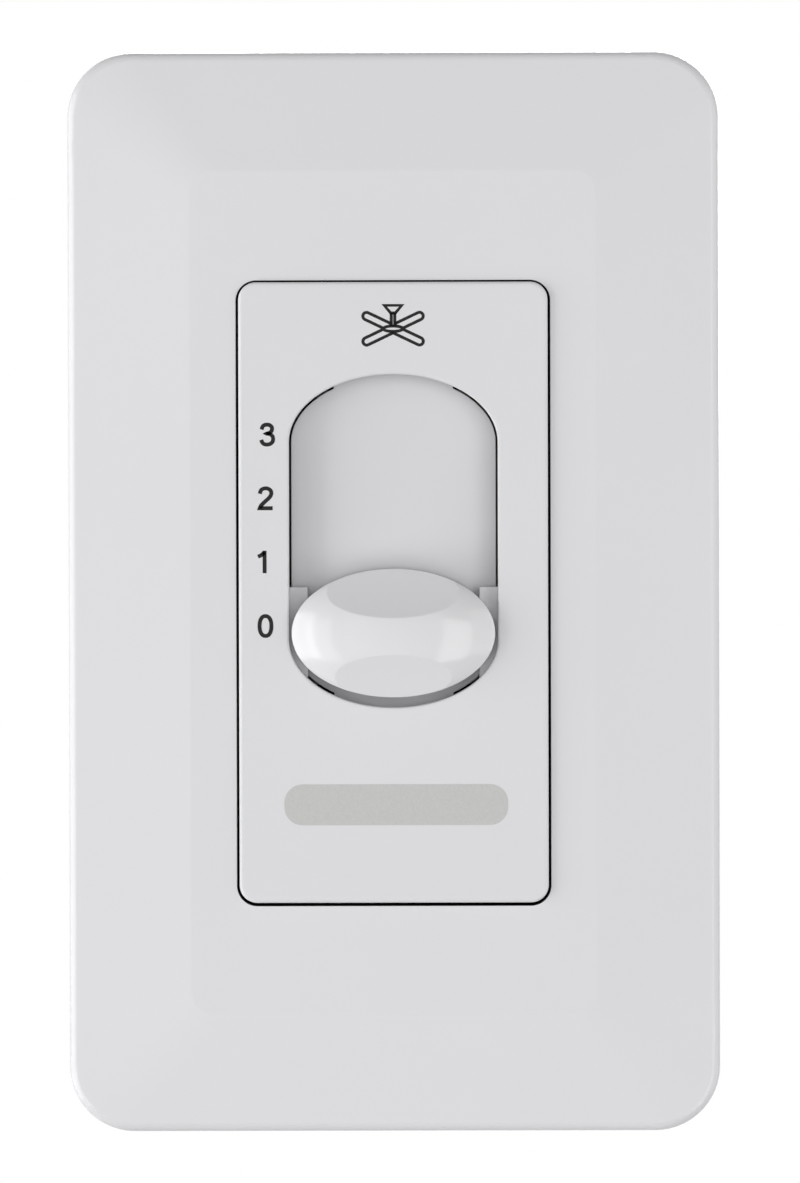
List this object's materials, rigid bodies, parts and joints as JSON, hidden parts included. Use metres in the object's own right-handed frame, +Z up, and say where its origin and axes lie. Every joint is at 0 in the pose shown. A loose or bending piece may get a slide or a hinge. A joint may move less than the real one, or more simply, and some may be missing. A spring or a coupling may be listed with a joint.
{
  "type": "fan speed control switch",
  "caption": "Screwless wall plate round a rectangular insert, whose oval slider knob runs up a recessed track past printed speed positions, on a boxed switch body.",
  "frame": {"origin": "middle of the two wall-box screws, on the wall face", "axes": "+Z up, +X to the right seen from the front, +Y into the wall along the box screws, so the front faces -Y"},
  "size_m": [0.07, 0.0417, 0.116],
  "materials": {
    "plate_white": "satin",
    "frame_white": "matte",
    "insert_white": "satin",
    "knob_white": "satin",
    "strap_steel": "zinc plated",
    "screw_steel": "zinc plated",
    "spring_steel": "bright",
    "case_dark": "moulded, fine grain",
    "guide_nylon": "natural",
    "board_brown": "satin",
    "contact_brass": "bright",
    "capacitor_case": "satin",
    "resistor_body": "matte",
    "wire_black": "insulation",
    "ground_green": "green"
  },
  "bodies": {
    "control": {"wall_plate": "plate_white", "plate_adapter": "frame_white", "bezel": "insert_white", "track_plate": "insert_white", "adapter_screws": "screw_steel", "strap": "strap_steel", "box_screws": "screw_steel", "housing": "case_dark", "housing_screws": "screw_steel", "guide_frame": "guide_nylon", "contact_board": "board_brown", "common_rail": "contact_brass", "contact_low": "contact_brass", "contact_medium": "contact_brass", "contact_high": "contact_brass", "capacitor_low": "capacitor_case", "capacitor_medium": "capacitor_case", "resistor_low": "resistor_body", "resistor_medium": "resistor_body", "line_terminal": "contact_brass", "load_terminal": "contact_brass", "line_clamp": "screw_steel", "load_clamp": "screw_steel", "terminal_screws": "contact_brass", "line_jumper": "wire_black", "load_jumper": "wire_black", "ground_screw": "ground_green"},
    "slider": {"slide_knob": "knob_white", "carriage": "guide_nylon", "detent_spring": "spring_steel", "contact_spring": "spring_steel", "bridge_contact": "contact_brass"}
  },
  "joints": [
    {"name": "speed_slide", "type": "slide", "parent": "control", "child": "slider", "axis": [0, 0, 1], "range_m": [0, 0.0204], "deforming": ["detent_spring"]}
  ]
}
